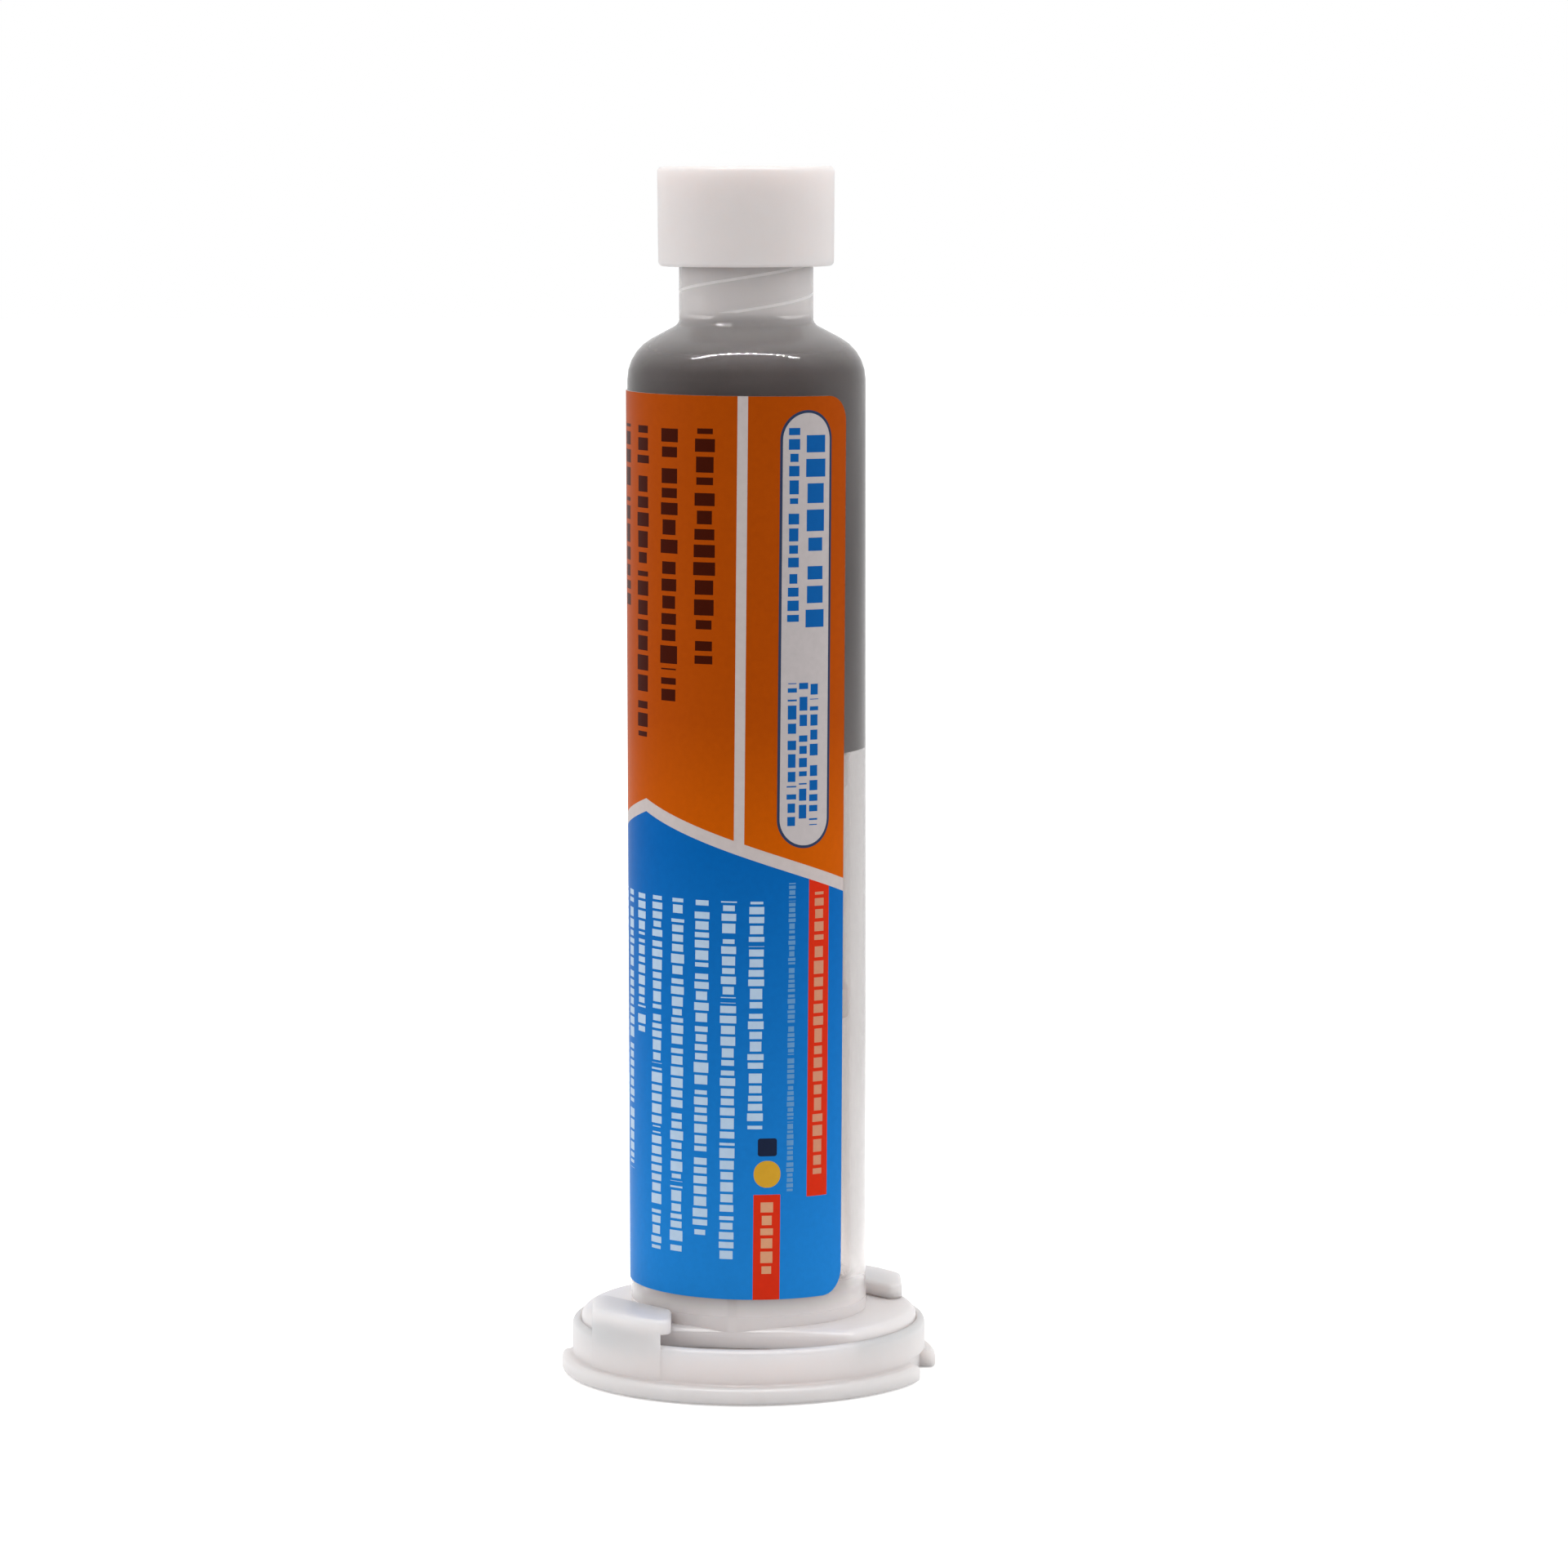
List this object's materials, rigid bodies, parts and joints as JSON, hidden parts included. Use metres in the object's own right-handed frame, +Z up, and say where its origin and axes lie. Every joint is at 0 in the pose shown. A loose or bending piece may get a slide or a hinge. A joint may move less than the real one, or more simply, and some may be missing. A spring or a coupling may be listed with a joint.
{
  "type": "solder paste syringe",
  "caption": "Clear plastic dispensing barrel of solder paste with a wrap label, inner wiper piston, threaded nozzle collar under a tip cap, and a clipped-on round end cap that it stands on.",
  "frame": {"origin": "centre of the end cap's underside, on the barrel's axis", "axes": "+Z runs up the barrel's axis from the end cap to the tip cap, -Y faces the viewer, +X is to the viewer's right"},
  "size_m": [0.0296, 0.0296, 0.0943],
  "materials": {
    "clear_polypropylene": "gloss",
    "milky_polypropylene": "satin",
    "white_polyethylene": "satin",
    "solder_paste": "satin",
    "printed_film": "gloss"
  },
  "bodies": {
    "barrel": {"barrel": "clear_polypropylene", "label": "printed_film", "solder_paste": "solder_paste"},
    "tip_cap": {"tip_cap": "milky_polypropylene"},
    "end_cap": {"end_cap": "milky_polypropylene"},
    "piston": {"piston": "white_polyethylene"}
  },
  "joints": [
    {"name": "tip_cap_lift", "type": "slide", "parent": "barrel", "child": "tip_cap", "axis": [0, 0, 1], "range_m": [0, 0.012]},
    {"name": "end_cap_turn", "type": "hinge", "parent": "barrel", "child": "end_cap", "pos_m": [0, 0, 0], "axis": [0, 0, 1], "range_deg": [-50, 40]},
    {"name": "piston_slide", "type": "slide", "parent": "barrel", "child": "piston", "axis": [0, 0, 1], "range_m": [0, 0.0285], "deforming": ["solder_paste"]}
  ]
}
